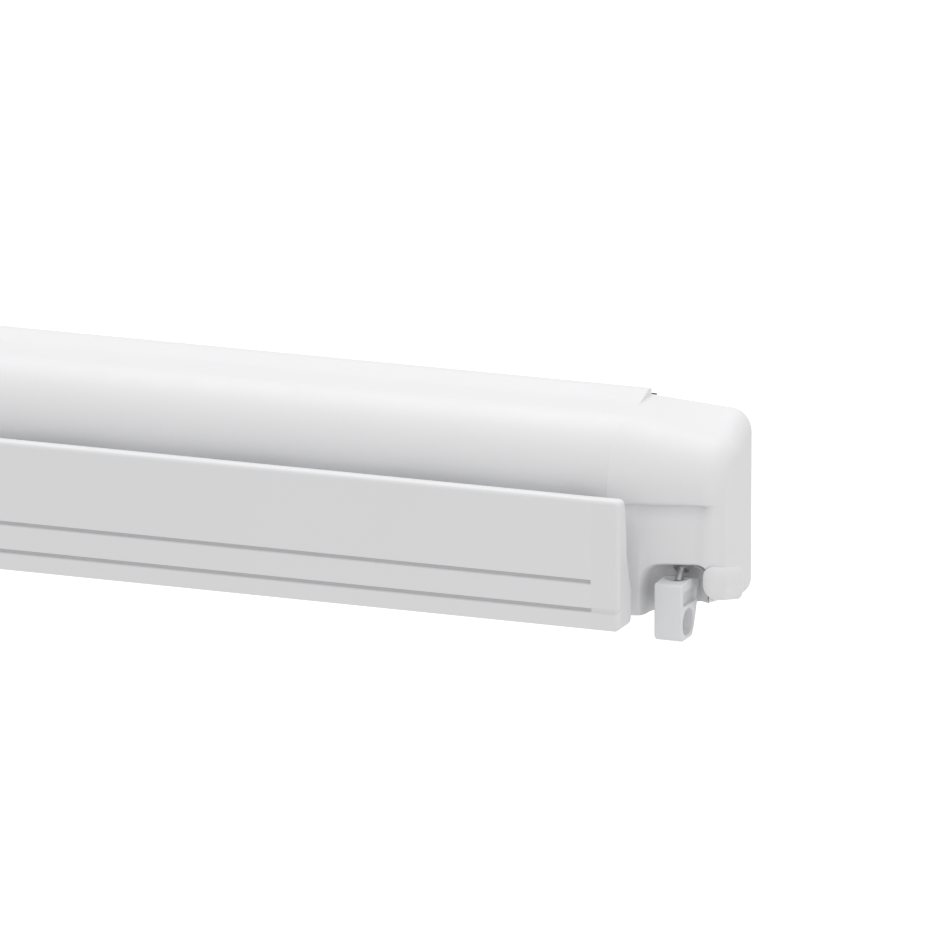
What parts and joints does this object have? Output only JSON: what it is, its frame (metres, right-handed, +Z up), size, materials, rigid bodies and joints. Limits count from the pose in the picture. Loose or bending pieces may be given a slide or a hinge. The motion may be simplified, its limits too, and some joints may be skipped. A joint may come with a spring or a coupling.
{
  "type": "roll out awning",
  "caption": "Roll out awning for a caravan or camper: slim wall case, spring-armed lead bar, folding legs and winch eye, closed.",
  "frame": {"origin": "on the wall plane at mid length, at mid height of the middle wall bracket", "axes": "+X along the awning towards the winch end, -Y out from the vehicle wall, +Z up"},
  "size_m": [2.65, 0.112, 0.1383],
  "materials": {
    "case_paint": "satin white powder coat",
    "cap_plastic": "fine moulded grain, light grey-white",
    "eye_plastic": "moulded, light grey",
    "seal_rubber": "extruded",
    "cast_aluminium": "cast, tumbled",
    "leg_aluminium": "anodised",
    "steel": "zinc plated",
    "bush_plastic": "moulded",
    "wheel_brass": "machined",
    "awning_fabric": "coated woven cloth"
  },
  "bodies": {
    "case": {"case_shell": "case_paint", "wall_brackets": "cast_aluminium", "bracket_bolts": "steel", "wall_seal": "seal_rubber", "floor_seal": "seal_rubber", "end_screws": "steel", "roller_bushes": "bush_plastic", "shoulder_brackets": "cast_aluminium", "shoulder_pins": "steel", "end_cap_left": "cap_plastic", "end_cap_right": "cap_plastic", "end_plate_left": "cast_aluminium", "end_plate_right": "cast_aluminium", "gearbox_housing": "cast_aluminium", "gearbox_cover": "cast_aluminium"},
    "roller": {"roller_tube": "leg_aluminium", "fabric_roll": "awning_fabric", "roller_plug_left": "steel", "roller_plug_right": "steel", "worm_wheel": "wheel_brass"},
    "worm_shaft": {"worm_shaft": "steel"},
    "crank_eye": {"crank_eye": "eye_plastic"},
    "lead_bar": {"lead_bar": "case_paint", "fabric_hem": "awning_fabric", "wrist_brackets": "cast_aluminium", "wrist_pins": "steel", "leg_brackets": "steel", "leg_pins": "steel", "lead_bar_cap_left": "cap_plastic", "lead_bar_cap_right": "cap_plastic"},
    "left_upper_arm": {"upper_arm_left": "case_paint", "shoulder_knuckle_left": "cast_aluminium", "elbow_fork_left": "cast_aluminium", "elbow_pin_left": "steel"},
    "left_forearm": {"forearm_left": "case_paint", "elbow_tongue_left": "cast_aluminium", "wrist_block_left": "cast_aluminium", "arm_spring_left": "steel"},
    "left_leg": {"leg_tube_left": "leg_aluminium", "leg_head_left": "bush_plastic", "leg_clamp_left": "bush_plastic"},
    "left_clamp_lever": {"clamp_lever_left": "bush_plastic"},
    "left_leg_slider": {"leg_inner_tube_left": "leg_aluminium"},
    "left_leg_foot": {"leg_foot_left": "bush_plastic"},
    "right_upper_arm": {"upper_arm_right": "case_paint", "shoulder_knuckle_right": "cast_aluminium", "elbow_fork_right": "cast_aluminium", "elbow_pin_right": "steel"},
    "right_forearm": {"forearm_right": "case_paint", "elbow_tongue_right": "cast_aluminium", "wrist_block_right": "cast_aluminium", "arm_spring_right": "steel"},
    "right_leg": {"leg_tube_right": "leg_aluminium", "leg_head_right": "bush_plastic", "leg_clamp_right": "bush_plastic"},
    "right_clamp_lever": {"clamp_lever_right": "bush_plastic"},
    "right_leg_slider": {"leg_inner_tube_right": "leg_aluminium"},
    "right_leg_foot": {"leg_foot_right": "bush_plastic"}
  },
  "joints": [
    {"name": "roller_spin", "type": "hinge", "parent": "case", "child": "roller", "pos_m": [0, -0.04299, 0.01799], "axis": [1, 0, 0], "continuous": true},
    {"name": "worm_spin", "type": "hinge", "parent": "case", "child": "worm_shaft", "pos_m": [1.2975, -0.067, -0.045], "axis": [0, 0.5928, 0.8053], "continuous": true},
    {"name": "eye_spin", "type": "hinge", "parent": "case", "child": "crank_eye", "pos_m": [1.2975, -0.067, -0.045], "axis": [0, 0, 1], "continuous": true},
    {"name": "left_shoulder", "type": "hinge", "parent": "case", "child": "left_upper_arm", "pos_m": [-1.1965, -0.028, -0.035], "axis": [0, 0, -1], "range_deg": [0, 66]},
    {"name": "left_elbow", "type": "hinge", "parent": "left_upper_arm", "child": "left_forearm", "pos_m": [-0.0667, -0.05, -0.035], "axis": [0, 0, -1], "range_deg": [-132, 0]},
    {"name": "right_shoulder", "type": "hinge", "parent": "case", "child": "right_upper_arm", "pos_m": [1.1965, -0.028, -0.035], "axis": [0, 0, 1], "range_deg": [0, 66]},
    {"name": "right_elbow", "type": "hinge", "parent": "right_upper_arm", "child": "right_forearm", "pos_m": [0.0667, -0.05, -0.035], "axis": [0, 0, 1], "range_deg": [-132, 0]},
    {"name": "left_wrist", "type": "hinge", "parent": "left_forearm", "child": "lead_bar", "pos_m": [-1.1965, -0.072, -0.035], "axis": [0, 0, -1], "range_deg": [0, 66]},
    {"name": "left_leg_fold", "type": "hinge", "parent": "lead_bar", "child": "left_leg", "pos_m": [-1.2325, -0.1013, -0.0518], "axis": [0, 1, 0], "range_deg": [0, 90]},
    {"name": "left_clamp", "type": "hinge", "parent": "left_leg", "child": "left_clamp_lever", "pos_m": [-0.1356, -0.1013, -0.0617], "axis": [0, -1, 0], "range_deg": [0, 80]},
    {"name": "left_leg_slide", "type": "slide", "parent": "left_leg", "child": "left_leg_slider", "axis": [1, 0, 0], "range_m": [0, 0.8]},
    {"name": "left_foot_tilt", "type": "hinge", "parent": "left_leg_slider", "child": "left_leg_foot", "pos_m": [-0.114, -0.1013, -0.0518], "axis": [0, 1, 0], "range_deg": [-18, 18]},
    {"name": "right_leg_fold", "type": "hinge", "parent": "lead_bar", "child": "right_leg", "pos_m": [1.2325, -0.1013, -0.0518], "axis": [0, -1, 0], "range_deg": [0, 90]},
    {"name": "right_clamp", "type": "hinge", "parent": "right_leg", "child": "right_clamp_lever", "pos_m": [0.1356, -0.1013, -0.0617], "axis": [0, 1, 0], "range_deg": [0, 80]},
    {"name": "right_leg_slide", "type": "slide", "parent": "right_leg", "child": "right_leg_slider", "axis": [-1, 0, 0], "range_m": [0, 0.8]},
    {"name": "right_foot_tilt", "type": "hinge", "parent": "right_leg_slider", "child": "right_leg_foot", "pos_m": [0.114, -0.1013, -0.0518], "axis": [0, 1, 0], "range_deg": [-18, 18]}
  ],
  "couplings": [
    {"joint": "worm_spin", "follows": "roller_spin", "ratio": -12},
    {"joint": "eye_spin", "follows": "roller_spin", "ratio": -12},
    {"joint": "left_elbow", "follows": "left_shoulder", "ratio": -2},
    {"joint": "left_wrist", "follows": "left_shoulder", "ratio": 1},
    {"joint": "right_shoulder", "follows": "left_shoulder", "ratio": 1},
    {"joint": "right_elbow", "follows": "left_shoulder", "ratio": -2},
    {"joint": "left_leg_slide", "follows": "left_leg_fold", "m_per_rad": 0.5093},
    {"joint": "right_leg_slide", "follows": "right_leg_fold", "m_per_rad": 0.5093}
  ]
}
